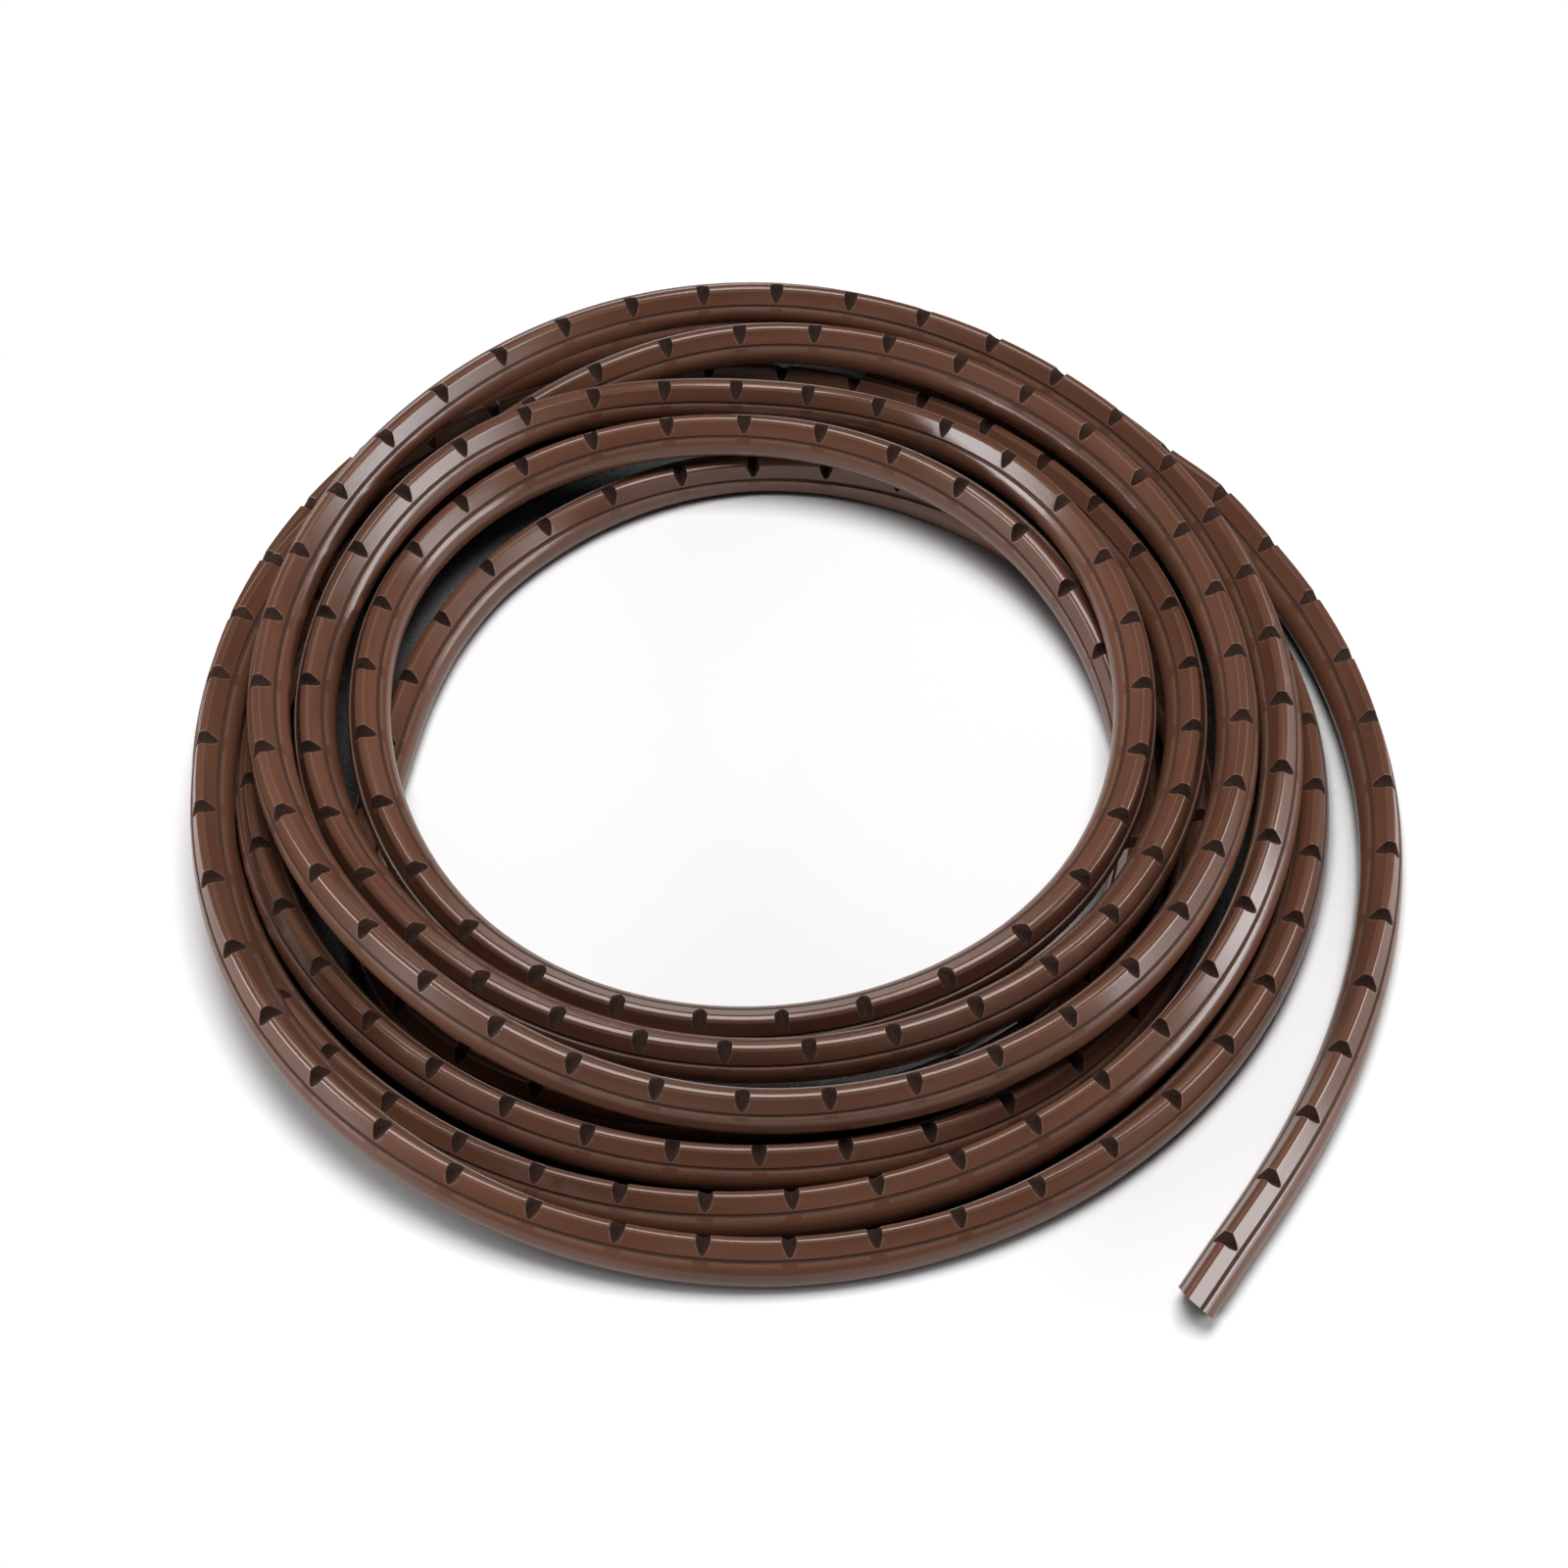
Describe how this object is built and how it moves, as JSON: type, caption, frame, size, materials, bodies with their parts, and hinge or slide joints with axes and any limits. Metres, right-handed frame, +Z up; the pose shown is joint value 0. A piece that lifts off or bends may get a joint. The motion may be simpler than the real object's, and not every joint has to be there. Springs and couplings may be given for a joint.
{
  "type": "soaker hose",
  "caption": "Soft soaker hose with a notched crown along its top, lying in a loose coil with one cut end free, for watering along its length.",
  "frame": {"origin": "centre of the footprint, on the floor that the coil lies on", "axes": "+Z up from the floor, -Y to the front where the open end lies, +X to the right where the free run leaves the coil"},
  "size_m": [0.4182, 0.4342, 0.0536],
  "materials": {
    "hose": "satin brown soft vinyl with a light sheen"
  },
  "bodies": {
    "root": {"coil": "hose", "free_run": "hose", "open_end": "hose", "start_end": "hose"}
  },
  "joints": []
}
